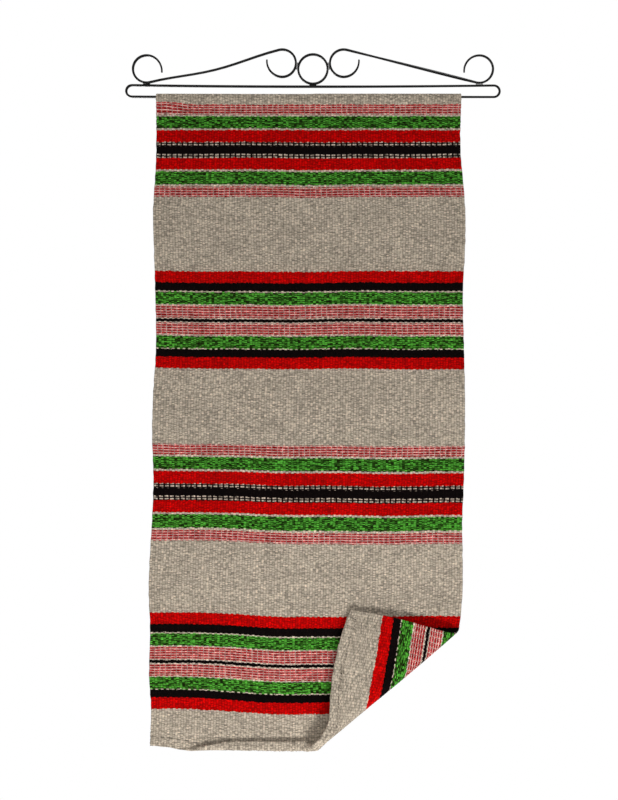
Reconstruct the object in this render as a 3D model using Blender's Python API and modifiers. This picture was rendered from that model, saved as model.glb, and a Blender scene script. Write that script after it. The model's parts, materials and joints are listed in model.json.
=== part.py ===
"""Tapestry wall hanging: a striped woollen cloth on a wrought-iron scroll hanger.

Metres. +X is to the right as seen from the room, +Y points into the wall and +Z is up.
The origin is the nail point, which is the inner top of the hanging ring.

The hanger is one flat iron strip bent into a frame with two inward arms, two scrolls and
a ring, joined by weld beads. The cloth hangs from a sleeve on the arms, and its lower
right corner is turned up to the front along a slanting fold.
"""

from collections import namedtuple
from math import acos, cos, pi, radians, sin, sqrt

import bmesh
import bpy
from mathutils import Matrix, Vector

Pivot = namedtuple("Pivot", ("obj", "world"))

COLLECTION = "tapestry_wall_hanging"
CLEARANCE = 0.0003  # between pieces that touch

# Iron strip, used edge-on everywhere
STRIP_DEPTH = 0.008
STRIP_THICKNESS = 0.0028
STRIP_CHAMFER = 0.0005
WELD_GAP = 0.001  # between the strips that a bead joins
WELD_LENGTH = 0.009
WELD_DEPTH = 0.0060

# Frame: bar, two half-round ends and two arms that run inwards
HANGER_WIDTH = 0.491
BAR_SAG = 0.0018
ARM_SPACING = 0.015
ARM_END_GAP = 0.004
LEFT_ARM_DROOP = 0.0012
RIGHT_END_TWIST = radians(5.0)  # the hanger's right end leans, front edge down

# Hanging ring and scrolls, all radii to the middle of the strip
RING_RADIUS = 0.0192
OUTER_CURL_RADIUS = 0.0178
OUTER_CURL_INSET = 0.028  # hanger's end to the curl's centre
INNER_CURL_RADIUS = 0.0179
INNER_CURL_RISE = 0.0077  # above the ring's centre
CURL_FLARE = 0.0026  # the free tips open out by this much
CURL_FLARE_ANGLE = radians(100.0)
OUTER_TIP_ANGLE = radians(193.0)
INNER_TIP_ANGLE = radians(373.0)
LEFT_DIAGONAL_BOW = 0.005
RIGHT_DIAGONAL_BOW = 0.0
LEFT_DIAGONAL_TWIST = radians(3.0)
RIGHT_DIAGONAL_TWIST = radians(14.0)
TIP_SCALE = 0.72  # the strip is drawn down at the free tips

# Cloth
CLOTH_THICKNESS = 0.0018
CLOTH_LENGTH = 0.856  # top of the sleeve to the bottom edge
TOP_WIDTH = 0.400
BOTTOM_WIDTH = 0.412
CLOTH_SHIFT = -0.0057  # the sleeve has slid a little to the left of the ring
BOTTOM_LEAN = -0.002
HEM_WIDTH = 0.013
THREAD_RADIUS = 0.0004

# Sleeve section, measured from the middle of the arm
SLEEVE_EASE_Y = 0.0012
SLEEVE_EASE_Z = 0.0007
SLEEVE_DROP = 0.0118  # to the seam, where the panel swings
SLEEVE_CORNER = 0.0014
PANEL_GAP = 0.0014  # sleeve to panel, so that the panel can swing level

# Turned-up corner
CORNER_DEPTH = 0.136  # flat corner to the line where the roll leaves the panel
FOLD_ANGLE = radians(39.3)
FOLD_RADIUS = 0.012
FOLD_TURN = radians(190.0)
FOLD_GAP = 0.001  # panel to roll and roll to flap, so that they clear as they open

# Faceting
ARC_STEP = radians(7.0)
BAR_STEPS = 14
DIAGONAL_STEPS = 12
ROLL_STEPS = 16
WELD_STEPS = 6

# Places that follow from the sizes
RING_Z = -(RING_RADIUS - STRIP_THICKNESS / 2)
BAR_MIDDLE_Z = RING_Z - RING_RADIUS - STRIP_THICKNESS - WELD_GAP
BEND_RADIUS = ARM_SPACING / 2
BAR_HALF = HANGER_WIDTH / 2 - STRIP_THICKNESS / 2 - BEND_RADIUS
BAR_END_Z = BAR_MIDDLE_Z + BAR_SAG
ARM_Z = BAR_END_Z - ARM_SPACING
SEAM_Z = ARM_Z - SLEEVE_DROP
CLOTH_TOP_Z = ARM_Z + STRIP_THICKNESS / 2 + SLEEVE_EASE_Z + CLOTH_THICKNESS
CLOTH_BOTTOM_Z = CLOTH_TOP_Z - CLOTH_LENGTH

IRON = ((0.018, 0.020, 0.020), 0.42, 0.7)
BEAD = ((0.050, 0.047, 0.043), 0.55, 0.8)
WOOL_GREY = ((0.420, 0.360, 0.290), 0.95, 0.0)
WOOL_RED = ((0.480, 0.010, 0.012), 0.95, 0.0)
THREAD = ((0.520, 0.450, 0.370), 0.9, 0.0)


def clear_scene():
    for obj in list(bpy.data.objects):
        bpy.data.objects.remove(obj, do_unlink=True)


def new_collection(name):
    collection = bpy.data.collections.new(name)
    bpy.context.scene.collection.children.link(collection)
    return collection


def add_material(obj, look):
    colour, roughness, metallic = look
    material = bpy.data.materials.new(obj.name)
    material.use_nodes = True
    shader = material.node_tree.nodes["Principled BSDF"]
    shader.inputs["Base Color"].default_value = (*colour, 1.0)
    shader.inputs["Roughness"].default_value = roughness
    shader.inputs["Metallic"].default_value = metallic
    material.diffuse_color = (*colour, 1.0)
    obj.data.materials.clear()
    obj.data.materials.append(material)


def frame_matrix(x_axis, y_axis, origin):
    """World matrix of a frame with the given axes and origin."""
    z_axis = x_axis.cross(y_axis)
    matrix = Matrix((x_axis, y_axis, z_axis)).transposed().to_4x4()
    matrix.translation = origin
    return matrix


def add_pivot(name, world, parent=None):
    """An empty on a joint axis, kept with its world matrix."""
    obj = bpy.data.objects.new(name, None)
    obj.empty_display_size = 0.02
    parts.objects.link(obj)
    attach(obj, world, parent)
    return Pivot(obj, world)


def attach(obj, world, pivot):
    """Place obj at a world matrix, under a pivot where there is one."""
    obj.matrix_basis = world
    if pivot:
        obj.parent = pivot.obj
        obj.matrix_basis = pivot.world.inverted() @ world


def arc(centre, radius, start, end, step=ARC_STEP):
    """Points round a circle, both ends included."""
    steps = max(1, round(abs(end - start) / step))
    turns = [start + (end - start) * i / steps for i in range(steps + 1)]
    return [centre + Vector((cos(a), sin(a))) * radius for a in turns]


# Iron strips


def strip_section():
    """Closed outline of the strip, depth along its X and thickness along its Y."""
    deep = STRIP_DEPTH / 2
    across = STRIP_THICKNESS / 2
    cut = STRIP_CHAMFER
    quarter = [(deep, across - cut), (deep - cut, across)]
    mirrored = [(-x, y) for x, y in reversed(quarter)]
    outline = quarter + mirrored
    outline += [(x, -y) for x, y in reversed(outline)]
    obj = flat_curve("strip_section", [outline])
    obj.data.fill_mode = "NONE"
    hide_guide(obj)
    return obj


def flat_curve(name, outlines):
    """A 2D curve object of closed outlines, not yet linked to the parts."""
    curve = bpy.data.curves.new(name, "CURVE")
    curve.dimensions = "2D"
    for outline in outlines:
        spline = curve.splines.new("POLY")
        spline.points.add(len(outline) - 1)
        for point, (x, y) in zip(spline.points, outline):
            point.co = (x, y, 0.0, 1.0)
        spline.use_cyclic_u = True
    return bpy.data.objects.new(name, curve)


def hide_guide(obj):
    obj.hide_render = True
    obj.display_type = "WIRE"
    guides.objects.link(obj)


def lean_angle(x):
    return RIGHT_END_TWIST * max(x, 0.0) / (HANGER_WIDTH / 2)


def lean(point):
    """Turn a point about the arms' lower back edge, by more the nearer the right end.

    Nothing passes behind the plane of the straight strips' back edges.
    """
    turn = Matrix.Rotation(lean_angle(point.x), 3, "X")
    edge = Vector((point.x, STRIP_DEPTH / 2, ARM_Z - STRIP_THICKNESS / 2))
    return turn @ (point - edge) + edge


def strip(name, path, cyclic=False, twists=None, scales=None):
    """A bent strip along (x, z) points, with an optional twist and scale at each."""
    curve = bpy.data.curves.new(name, "CURVE")
    curve.dimensions = "3D"
    curve.twist_mode = "MINIMUM"
    curve.bevel_mode = "OBJECT"
    curve.bevel_object = section
    curve.use_fill_caps = not cyclic
    spline = curve.splines.new("POLY")
    spline.points.add(len(path) - 1)
    for i, (point, place_2d) in enumerate(zip(spline.points, path)):
        point.co = (place_2d.x, 0.0, place_2d.y, 1.0)
        point.tilt = twists[i] if twists else 0.0
        point.radius = scales[i] if scales else 1.0
    spline.use_cyclic_u = cyclic
    guide = bpy.data.objects.new(name + "_path", curve)
    hide_guide(guide)

    bpy.context.view_layer.update()
    evaluated = guide.evaluated_get(bpy.context.evaluated_depsgraph_get())
    mesh = bpy.data.meshes.new_from_object(evaluated)
    bpy.data.objects.remove(guide, do_unlink=True)
    mesh.name = name
    bm = bmesh.new()
    bm.from_mesh(mesh)
    bmesh.ops.remove_doubles(bm, verts=bm.verts, dist=0.00001)
    for vertex in bm.verts:
        vertex.co = lean(vertex.co)
    bmesh.ops.recalc_face_normals(bm, faces=bm.faces)
    bm.to_mesh(mesh)
    bm.free()
    mesh.shade_smooth()
    mesh.set_sharp_from_angle(angle=radians(30.0))
    return link(bpy.data.objects.new(name, mesh), IRON)


def link(obj, look):
    parts.objects.link(obj)
    add_material(obj, look)
    return obj


def bar_height(x):
    """Middle of the bar at x: a shallow sag, level at both ends."""
    return BAR_MIDDLE_Z + BAR_SAG * (x / BAR_HALF) ** 2


def hanger_frame():
    """Left arm, left bend, bar, right bend and right arm, as one strip."""
    left_end = Vector((-ARM_END_GAP / 2, ARM_Z - LEFT_ARM_DROOP))
    left_bend = Vector((-BAR_HALF, BAR_END_Z - BEND_RADIUS))
    right_bend = Vector((BAR_HALF, BAR_END_Z - BEND_RADIUS))
    right_end = Vector((ARM_END_GAP / 2, ARM_Z))
    bar_x = [BAR_HALF * (2 * i / BAR_STEPS - 1) for i in range(1, BAR_STEPS)]
    path = [left_end]
    path += arc(left_bend, BEND_RADIUS, 1.5 * pi, 0.5 * pi, 2 * ARC_STEP)
    path += [Vector((x, bar_height(x))) for x in bar_x]
    path += arc(right_bend, BEND_RADIUS, 0.5 * pi, -0.5 * pi, 2 * ARC_STEP)
    path += [right_end.lerp(path[-1], share) for share in (0.75, 0.5, 0.25, 0.0)]
    return strip("hanger_frame", path)


def hanging_ring():
    path = arc(Vector((0.0, RING_Z)), RING_RADIUS, 0.5 * pi, 2.5 * pi)
    return strip("hanging_ring", path[:-1], cyclic=True)


def curl_centres():
    """Centres of the outer and the inner curl, on the right-hand side."""
    outer_x = HANGER_WIDTH / 2 - OUTER_CURL_INSET
    outer_z = bar_height(outer_x) + STRIP_THICKNESS + WELD_GAP + OUTER_CURL_RADIUS
    reach = RING_RADIUS + STRIP_THICKNESS + WELD_GAP + INNER_CURL_RADIUS
    inner_x = sqrt(reach ** 2 - INNER_CURL_RISE ** 2)
    return Vector((outer_x, outer_z)), Vector((inner_x, RING_Z + INNER_CURL_RISE))


def curl(centre, radius, tip, root):
    """Points from the free tip to the root, the tip opening out from the circle."""
    steps = round(abs(root - tip) / ARC_STEP)
    points = []
    for i in range(steps + 1):
        angle = tip + (root - tip) * i / steps
        opening = max(0.0, 1.0 - abs(angle - tip) / CURL_FLARE_ANGLE)
        flared = radius + CURL_FLARE * opening ** 2
        points.append(centre + Vector((cos(angle), sin(angle))) * flared)
    return points


def scroll(name, side, bow, twist):
    """Outer curl, straight or bowed diagonal and inner curl, on one side (1 or -1)."""
    outer, inner = curl_centres()
    span = outer - inner
    tangent = acos((OUTER_CURL_RADIUS + INNER_CURL_RADIUS) / span.length)
    tangent -= Vector((1.0, 0.0)).angle(span) * (1 if span.y < 0 else -1)
    outer_points = curl(outer, OUTER_CURL_RADIUS, OUTER_TIP_ANGLE, tangent - pi)
    inner_points = curl(inner, INNER_CURL_RADIUS, INNER_TIP_ANGLE, tangent)[::-1]
    start = outer_points[-1]
    end = inner_points[0]
    dip = Vector((cos(tangent), sin(tangent))) * -bow
    shares = [i / DIAGONAL_STEPS for i in range(1, DIAGONAL_STEPS)]
    diagonal = [start.lerp(end, s) + dip * sin(pi * s) ** 2 for s in shares]
    path = outer_points + diagonal + inner_points
    turned = [0.0] * len(outer_points)
    turned += [twist * sin(pi * sqrt(s)) for s in shares]
    turned += [0.0] * len(inner_points)
    drawn = [1.0] * len(path)
    for i in range(len(outer_points) // 3):
        fade = 1.0 - i / (len(outer_points) // 3)
        drawn[i] = 1.0 - (1.0 - TIP_SCALE) * fade ** 2
        drawn[-1 - i] = drawn[i]
    mirrored = [Vector((side * point.x, point.y)) for point in path]
    return strip(name, mirrored, twists=[-side * turn for turn in turned], scales=drawn)


def sagitta(radius, offset):
    """How far a round surface has fallen away at an offset from its highest point."""
    return radius - sqrt(radius ** 2 - offset ** 2)


def weld(name, middle, across, first_radius, second_radius=None):
    """A bead between two strips, hollowed on each side to the strip's own curve.

    across points from the first strip to the second, and a flat second strip has no
    radius.
    """
    web = WELD_GAP / 2 - CLEARANCE
    offsets = [WELD_LENGTH * (i / WELD_STEPS - 0.5) for i in range(WELD_STEPS + 1)]
    skin = STRIP_THICKNESS / 2 + CLEARANCE
    lower = [(t, -web - sagitta(first_radius + skin, t)) for t in offsets]
    upper = [(t, web) for t in offsets]
    if second_radius:
        upper = [(t, web + sagitta(second_radius + skin, t)) for t in offsets]
    bead = flat_curve(name, [lower + upper[::-1]])
    bead.data.fill_mode = "BOTH"
    bead.data.extrude = WELD_DEPTH / 2
    across_3d = Vector((across.x, 0.0, across.y))
    centre = lean(Vector((middle.x, 0.0, middle.y)))
    side = across_3d.cross(Vector((0.0, 1.0, 0.0)))
    basis = frame_matrix(side, across_3d, Vector())
    basis = Matrix.Rotation(lean_angle(middle.x), 4, "X") @ basis
    basis.translation = centre
    link(bead, BEAD)
    bead.matrix_basis = basis


def welds():
    """Ring to bar, ring to both inner curls and both outer curls to the bar."""
    outer, inner = curl_centres()
    ring = Vector((0.0, RING_Z))
    half_joint = STRIP_THICKNESS / 2 + WELD_GAP / 2
    down = Vector((0.0, -1.0))
    weld("weld_ring_to_bar", ring + down * (RING_RADIUS + half_joint), down, RING_RADIUS)
    for side, word in ((-1, "left"), (1, "right")):
        curl_centre = Vector((side * inner.x, inner.y))
        towards = (curl_centre - ring).normalized()
        middle = ring + towards * (RING_RADIUS + half_joint)
        name = "weld_ring_to_" + word + "_scroll"
        weld(name, middle, towards, RING_RADIUS, INNER_CURL_RADIUS)
        curl_centre = Vector((side * outer.x, outer.y))
        middle = curl_centre + down * (OUTER_CURL_RADIUS + half_joint)
        weld("weld_" + word + "_scroll_to_bar", middle, down, OUTER_CURL_RADIUS)


# Cloth. A cloth point is (x, z) on the flat sheet; fold coordinates are s along the
# fold, up and to the right, and t outwards from the line where the roll begins.


def cloth_corners():
    """Top left, top right, bottom right and bottom left of the flat panel."""
    top = SEAM_Z - CLOTH_THICKNESS - PANEL_GAP
    share = (CLOTH_TOP_Z - top) / CLOTH_LENGTH
    half_top = (TOP_WIDTH + (BOTTOM_WIDTH - TOP_WIDTH) * share) / 2
    top_x = CLOTH_SHIFT + BOTTOM_LEAN * share
    bottom_x = CLOTH_SHIFT + BOTTOM_LEAN
    return (
        Vector((top_x - half_top, top)),
        Vector((top_x + half_top, top)),
        Vector((bottom_x + BOTTOM_WIDTH / 2, CLOTH_BOTTOM_Z)),
        Vector((bottom_x - BOTTOM_WIDTH / 2, CLOTH_BOTTOM_Z)),
    )


def to_fold(point):
    """Fold coordinates (s, t) of a cloth point."""
    offset = point - fold_origin
    return Vector((offset.dot(fold_along), offset.dot(fold_out)))


def on_edge(start, end, distance):
    """Cloth point where the edge from start to end is this far outside the fold."""
    first = to_fold(start).y
    last = to_fold(end).y
    return start.lerp(end, (distance - first) / (last - first))


def hem_inner_edge():
    """The stitched edge of the hem on the flat cloth, from left to right."""
    rise = HEM_WIDTH / CLOTH_LENGTH
    return bottom_left.lerp(top_left, rise), bottom_right.lerp(top_right, rise)


def cloth_slab(name, outline, world, look, pivot):
    """A flat piece of cloth whose outline lies in the XY plane of its own frame."""
    slab = flat_curve(name, [outline])
    slab.data.fill_mode = "BOTH"
    slab.data.extrude = CLOTH_THICKNESS / 2
    link(slab, look)
    attach(slab, world, pivot)
    return slab


def thread(name, start, end, pivot):
    """A straight seam thread between two world points."""
    span = end - start
    curve = bpy.data.curves.new(name, "CURVE")
    curve.dimensions = "3D"
    curve.bevel_depth = THREAD_RADIUS
    curve.bevel_resolution = 1
    curve.use_fill_caps = True
    spline = curve.splines.new("POLY")
    spline.points.add(1)
    spline.points[0].co = (0.0, 0.0, 0.0, 1.0)
    spline.points[1].co = (*span, 1.0)
    obj = link(bpy.data.objects.new(name, curve), THREAD)
    attach(obj, Matrix.Translation(start), pivot)
    return obj


def sleeve_outline(grow):
    """Sleeve section in (y, z) about the arm: a rounded top that narrows to the seam."""
    half = STRIP_DEPTH / 2 + SLEEVE_EASE_Y + grow
    rise = STRIP_THICKNESS / 2 + SLEEVE_EASE_Z
    corner = SLEEVE_CORNER + grow
    shoulder = Vector((half - corner, rise + grow - corner))
    quarter = arc(shoulder, corner, 0.5 * pi, 0.0, 2 * ARC_STEP)
    tail = grow or CLEARANCE
    seam = Vector((0.0, -SLEEVE_DROP + CLOTH_THICKNESS - grow))
    round_end = arc(seam, tail, 0.0, -0.5 * pi, 2 * ARC_STEP)
    right = quarter + [Vector((half, -rise))] + round_end
    mirrored = [Vector((-point.x, point.y)) for point in right[-2::-1]]
    return [(point.x, point.y) for point in right + mirrored]


def top_sleeve(pivot):
    """The cloth turned over the arms and sewn down, open at both ends."""
    outer = sleeve_outline(CLOTH_THICKNESS)
    inner = sleeve_outline(0.0)
    sleeve = flat_curve("top_sleeve", [outer, inner])
    sleeve.data.fill_mode = "BOTH"
    sleeve.data.extrude = TOP_WIDTH / 2
    link(sleeve, WOOL_GREY)
    middle = Vector((CLOTH_SHIFT, 0.0, ARM_Z))
    world = frame_matrix(Vector((0.0, 1.0, 0.0)), Vector((0.0, 0.0, 1.0)), middle)
    attach(sleeve, world, pivot)
    behind = CLOTH_THICKNESS + CLEARANCE + THREAD_RADIUS
    start = Vector((CLOTH_SHIFT - TOP_WIDTH / 2, behind, SEAM_Z))
    thread("sleeve_seam_thread", start, start + Vector((TOP_WIDTH, 0.0, 0.0)), pivot)


def woven_panel(pivot):
    """Panel, its bottom hem behind it, and the thread along the hem's upper edge."""
    half_gap = FOLD_GAP / 2
    hem_left, hem_right = hem_inner_edge()
    right_cut = on_edge(top_right, bottom_right, -half_gap)
    bottom_cut = on_edge(bottom_left, bottom_right, -half_gap)
    hem_cut = on_edge(hem_left, hem_right, -half_gap)
    x_axis = Vector((1.0, 0.0, 0.0))
    upright = frame_matrix(x_axis, Vector((0.0, 0.0, 1.0)), Vector())
    outline = (top_left, top_right, right_cut, bottom_cut, bottom_left)
    cloth_slab("woven_panel", outline, upright, WOOL_RED, pivot)
    layer = Matrix.Translation((0.0, CLOTH_THICKNESS + CLEARANCE, 0.0))
    outline = (hem_left, hem_cut, bottom_cut, bottom_left)
    cloth_slab("bottom_hem", outline, layer @ upright, WOOL_GREY, pivot)
    nook = CLEARANCE + THREAD_RADIUS
    behind = CLOTH_THICKNESS / 2 + nook
    start = Vector((hem_left.x, behind, hem_left.y + nook))
    end = Vector((hem_cut.x - nook, behind, hem_cut.y + nook))
    thread("hem_seam_thread", start, end, pivot)


def fold_world(along, height=0.0):
    """World frame on the fold line: X along it, Y outwards and Z towards the wall."""
    origin = Vector((fold_origin.x, 0.0, fold_origin.y))
    x_axis = Vector((fold_along.x, 0.0, fold_along.y))
    y_axis = Vector((fold_out.x, 0.0, fold_out.y))
    origin += x_axis * along + Vector((0.0, height, 0.0))
    return frame_matrix(x_axis, y_axis, origin)


def roll_pivot_place(turn):
    """Place on the fold frame of a hinge that opens the arc centred on this turn.

    An arc of half the fold opens flat without stretching when it swings about a point
    on its own middle line, a little outside the roll.
    """
    quarter = FOLD_TURN / 4
    radius = FOLD_RADIUS * quarter / sin(quarter)
    return Vector((0.0, radius * sin(turn), radius * cos(turn) - FOLD_RADIUS))


def corner_roll(pivot):
    """The cloth's turn from the panel to the flap, a round bend cut by both edges."""
    bm = bmesh.new()
    bmesh.ops.create_grid(bm, x_segments=1, y_segments=ROLL_STEPS, size=0.5)
    gap = FOLD_GAP / 2
    length = FOLD_RADIUS * FOLD_TURN
    for vertex in bm.verts:
        t = gap + (length - 2 * gap) * (vertex.co.y + 0.5)
        low = to_fold(on_edge(bottom_left, bottom_right, t)).x
        high = to_fold(on_edge(top_right, bottom_right, t)).x
        s = low + (high - low) * (vertex.co.x + 0.5)
        turn = t / FOLD_RADIUS
        vertex.co = (s, FOLD_RADIUS * sin(turn), FOLD_RADIUS * (cos(turn) - 1.0))
    mesh = bpy.data.meshes.new("corner_roll")
    bm.to_mesh(mesh)
    bm.free()
    mesh.shade_smooth()
    roll = link(bpy.data.objects.new("corner_roll", mesh), WOOL_RED)
    shell = roll.modifiers.new("cloth", "SOLIDIFY")
    shell.thickness = CLOTH_THICKNESS
    shell.offset = 0.0
    attach(roll, fold_world(0.0), pivot)


def corner_flap(pivot):
    """The turned-up triangle, with its hem and the hem's thread facing the room."""
    start = FOLD_RADIUS * FOLD_TURN
    cut = start + FOLD_GAP / 2
    hem_left, hem_right = hem_inner_edge()

    def outline(points):
        folded = [to_fold(point) for point in points]
        return [(point.x, point.y - start) for point in folded]

    turn = Matrix.Rotation(-FOLD_TURN, 4, "X")
    lift = Vector((0.0, FOLD_RADIUS * sin(FOLD_TURN), FOLD_RADIUS * (cos(FOLD_TURN) - 1.0)))
    world = fold_world(0.0) @ Matrix.Translation(lift) @ turn
    bottom_cut = on_edge(bottom_left, bottom_right, cut)
    right_cut = on_edge(top_right, bottom_right, cut)
    hem_cut = on_edge(hem_left, hem_right, cut)
    triangle = outline((bottom_cut, bottom_right, right_cut))
    cloth_slab("corner_flap", triangle, world, WOOL_RED, pivot)
    layer = Matrix.Translation((0.0, 0.0, CLOTH_THICKNESS + CLEARANCE))
    hem = outline((bottom_cut, bottom_right, hem_right, hem_cut))
    cloth_slab("corner_hem", hem, world @ layer, WOOL_GREY, pivot)
    nook = CLEARANCE + THREAD_RADIUS
    first = outline((hem_cut + Vector((nook * 2, nook)),))[0]
    last = outline((hem_right + Vector((-nook, nook)),))[0]
    height = CLOTH_THICKNESS / 2 + nook
    first_point = world @ Vector((*first, height))
    last_point = world @ Vector((*last, height))
    thread("corner_hem_thread", first_point, last_point, pivot)


clear_scene()
parts = new_collection(COLLECTION)
guides = new_collection("guides")
section = strip_section()

top_left, top_right, bottom_right, bottom_left = cloth_corners()
fold_along = Vector((cos(FOLD_ANGLE), sin(FOLD_ANGLE)))
fold_out = Vector((sin(FOLD_ANGLE), -cos(FOLD_ANGLE)))
fold_origin = bottom_right - fold_out * CORNER_DEPTH

hanger_frame()
hanging_ring()
scroll("left_scroll", -1, LEFT_DIAGONAL_BOW, LEFT_DIAGONAL_TWIST)
scroll("right_scroll", 1, RIGHT_DIAGONAL_BOW, RIGHT_DIAGONAL_TWIST)
welds()

slide_pivot = add_pivot("sleeve_pivot", Matrix.Translation((CLOTH_SHIFT, 0.0, ARM_Z)))
swing_place = Matrix.Translation((CLOTH_SHIFT, 0.0, SEAM_Z))
swing_pivot = add_pivot("panel_pivot", swing_place, slide_pivot)
roll_place = fold_world(0.0) @ Matrix.Translation(roll_pivot_place(FOLD_TURN / 4))
roll_pivot = add_pivot("roll_pivot", roll_place, swing_pivot)
flap_place = fold_world(0.0) @ Matrix.Translation(roll_pivot_place(FOLD_TURN * 3 / 4))
flap_pivot = add_pivot("flap_pivot", flap_place, roll_pivot)

top_sleeve(slide_pivot)
woven_panel(swing_pivot)
corner_roll(roll_pivot)
corner_flap(flap_pivot)
bpy.context.view_layer.update()
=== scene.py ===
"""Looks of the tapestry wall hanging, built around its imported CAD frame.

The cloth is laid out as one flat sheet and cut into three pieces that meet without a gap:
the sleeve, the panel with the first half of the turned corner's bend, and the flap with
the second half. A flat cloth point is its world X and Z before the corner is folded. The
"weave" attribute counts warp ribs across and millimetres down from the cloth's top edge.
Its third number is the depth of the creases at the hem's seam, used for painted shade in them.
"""

import json
from math import cos, pi, radians, sin

import bmesh
import bpy
import numpy as np
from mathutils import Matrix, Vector


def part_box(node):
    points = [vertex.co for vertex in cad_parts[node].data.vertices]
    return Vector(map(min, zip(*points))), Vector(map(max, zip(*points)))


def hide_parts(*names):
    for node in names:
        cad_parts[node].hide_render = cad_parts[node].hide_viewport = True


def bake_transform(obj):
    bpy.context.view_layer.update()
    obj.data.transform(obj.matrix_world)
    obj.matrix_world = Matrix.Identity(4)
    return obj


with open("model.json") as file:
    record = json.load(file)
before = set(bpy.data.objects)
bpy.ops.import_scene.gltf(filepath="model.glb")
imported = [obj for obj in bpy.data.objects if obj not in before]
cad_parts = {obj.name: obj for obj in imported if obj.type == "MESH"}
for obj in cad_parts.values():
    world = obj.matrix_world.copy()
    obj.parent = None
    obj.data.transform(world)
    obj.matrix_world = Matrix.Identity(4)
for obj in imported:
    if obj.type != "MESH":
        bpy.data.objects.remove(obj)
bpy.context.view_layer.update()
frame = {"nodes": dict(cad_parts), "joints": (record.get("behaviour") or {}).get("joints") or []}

MM = 0.001

# Cloth
THICKNESS = 0.0018
TOP_WIDTH = 0.400
BOTTOM_WIDTH = 0.412
HEM_WIDTH = 0.013
STITCH_PITCH = 0.011
EDGE_ROUND = 0.9 * MM
SLEEVE_DROOP = 0.4 * MM  # how far the sleeve sags over the left arm's free end
SLEEVE_CUT = 0.0455  # below the top edge, where the sleeve piece meets the panel piece
RIBS = 115
RIB_RELIEF = 0.24  # depth of the grooves between ribs, as a share of half the thickness
BEAD = 1.3  # mm down the cloth for each visible turn of weft

# Turned-up corner
CORNER_DEPTH = 0.136
FOLD_REACH = 0.012  # fold line to the silhouette
FOLD_TURN = radians(190.0)
HALF_TURN = radians(95.0)
LOW_END = -0.166  # the roll's ends, along the fold
HIGH_END = 0.110
LIP_REACH = 3.2 * MM  # the bottom edge's own small roll, left of the corner
LIP_DEPTH = 3.2 * MM
LIP_MERGE = 9.0 * MM
# Half widths of the roll's flattened section in millimetres: across the cloth, and deep
ROLL_REACH = (
    (-0.19, 5.0), (-0.165, 7.0), (-0.145, 7.2), (-0.115, 9.3), (-0.08, 13.6), (0.0, 12.0),
    (0.12, 10.0),
)
ROLL_DEPTH = (
    (-0.19, 3.5), (-0.165, 6.0), (-0.145, 12.5), (-0.115, 15.0), (-0.08, 11.8), (0.0, 8.5),
    (0.12, 7.5),
)

joints = {joint["name"]: joint for joint in frame["joints"]}
sleeve_low, sleeve_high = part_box("top_sleeve")
panel_low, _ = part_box("woven_panel")
SEAM_Z = joints["panel_swing"]["pos_m"][2]
TOP_Z = sleeve_high.z
BOTTOM_Z = panel_low.z
CLOTH_LENGTH = TOP_Z - BOTTOM_Z
SHIFT = (sleeve_low.x + sleeve_high.x) / 2
fold_along = Vector(joints["corner_unroll"]["axis"])
fold_out = Vector((fold_along.z, 0.0, -fold_along.x))
corner = Vector((panel_low.x + BOTTOM_WIDTH, 0.0, BOTTOM_Z))
fold_origin = corner - fold_out * CORNER_DEPTH


def smooth(value, low, high):
    """0 below low, 1 above high, and a smooth step between them."""
    share = np.clip((value - low) / (high - low), 0.0, 1.0)
    return share * share * (3.0 - 2.0 * share)


def flowing(x, knots):
    """A smooth curve through (x, y) knots."""
    xs, ys = (np.array(column, float) for column in zip(*knots))
    slopes = np.gradient(ys, xs)
    i = np.clip(np.searchsorted(xs, x) - 1, 0, len(xs) - 2)
    width = xs[i + 1] - xs[i]
    t = np.clip((x - xs[i]) / width, 0.0, 1.0)
    first = ys[i] * (1 + 2 * t) * (1 - t) ** 2 + ys[i + 1] * t * t * (3 - 2 * t)
    return first + width * (slopes[i] * t * (1 - t) ** 2 - slopes[i + 1] * t * t * (1 - t))


# Millimetres that each selvage stands out to the right of its straight line
LEFT_PULL = (
    (0, 0.6), (85, 1.3), (160, -1.9), (205, -0.2), (255, 1.7), (335, 3.4), (395, 0.3),
    (440, -0.5), (510, 1.9), (557, 0.5), (600, -1.7), (650, -3.1), (695, -0.9),
    (770, -1.1), (800, 1.3), (856, 0.6),
)
RIGHT_PULL = (
    (0, -0.3), (85, -1.0), (113, 1.5), (160, 4.4), (205, 3.6), (255, 0.8), (335, 1.9),
    (395, 2.8), (440, 2.4), (510, 0.5), (557, -1.6), (600, -1.2), (650, -1.8),
    (680, -4.5), (705, -7.0), (735, -5.0), (780, -1.0), (856, 0.0),
)


def selvage_bumps(down, phase):
    """Small turns of weft along a selvage."""
    bumps = 0.22 * np.sin(down * 1.37 + phase) + 0.16 * np.sin(down * 0.61 + 2.3 * phase)
    return (bumps + 0.12 * np.sin(down * 2.9 + phase * 1.7)) * MM


def left_edge(down):
    top = SHIFT - TOP_WIDTH / 2
    straight = top + (panel_low.x - top) * down / (CLOTH_LENGTH / MM)
    return straight + flowing(down, LEFT_PULL) * MM + selvage_bumps(down, 0.4)


def right_edge(down):
    top = SHIFT + TOP_WIDTH / 2
    straight = top + (corner.x - top) * down / (CLOTH_LENGTH / MM)
    return straight + flowing(down, RIGHT_PULL) * MM + selvage_bumps(down, 1.9)


# The bottom edge, in millimetres shorter than the cloth's length
BOTTOM_CUT = (
    (-0.215, 1.0), (-0.19, -1.0), (-0.15, -7.0), (-0.11, -12.0), (-0.03, -12.0),
    (0.02, -13.0), (0.05, -4.0), (0.09, -3.5), (0.14, -2.0), (0.17, 0.6), (0.19, 4.0),
    (0.20, 6.5),
)


def bottom_end(x):
    """Millimetres down the cloth to the bottom edge at x."""
    bumps = 0.25 * np.sin(x * 310.0) + 0.2 * np.sin(x * 171.0 + 1.0)
    return CLOTH_LENGTH / MM - flowing(x, BOTTOM_CUT) + bumps


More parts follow.
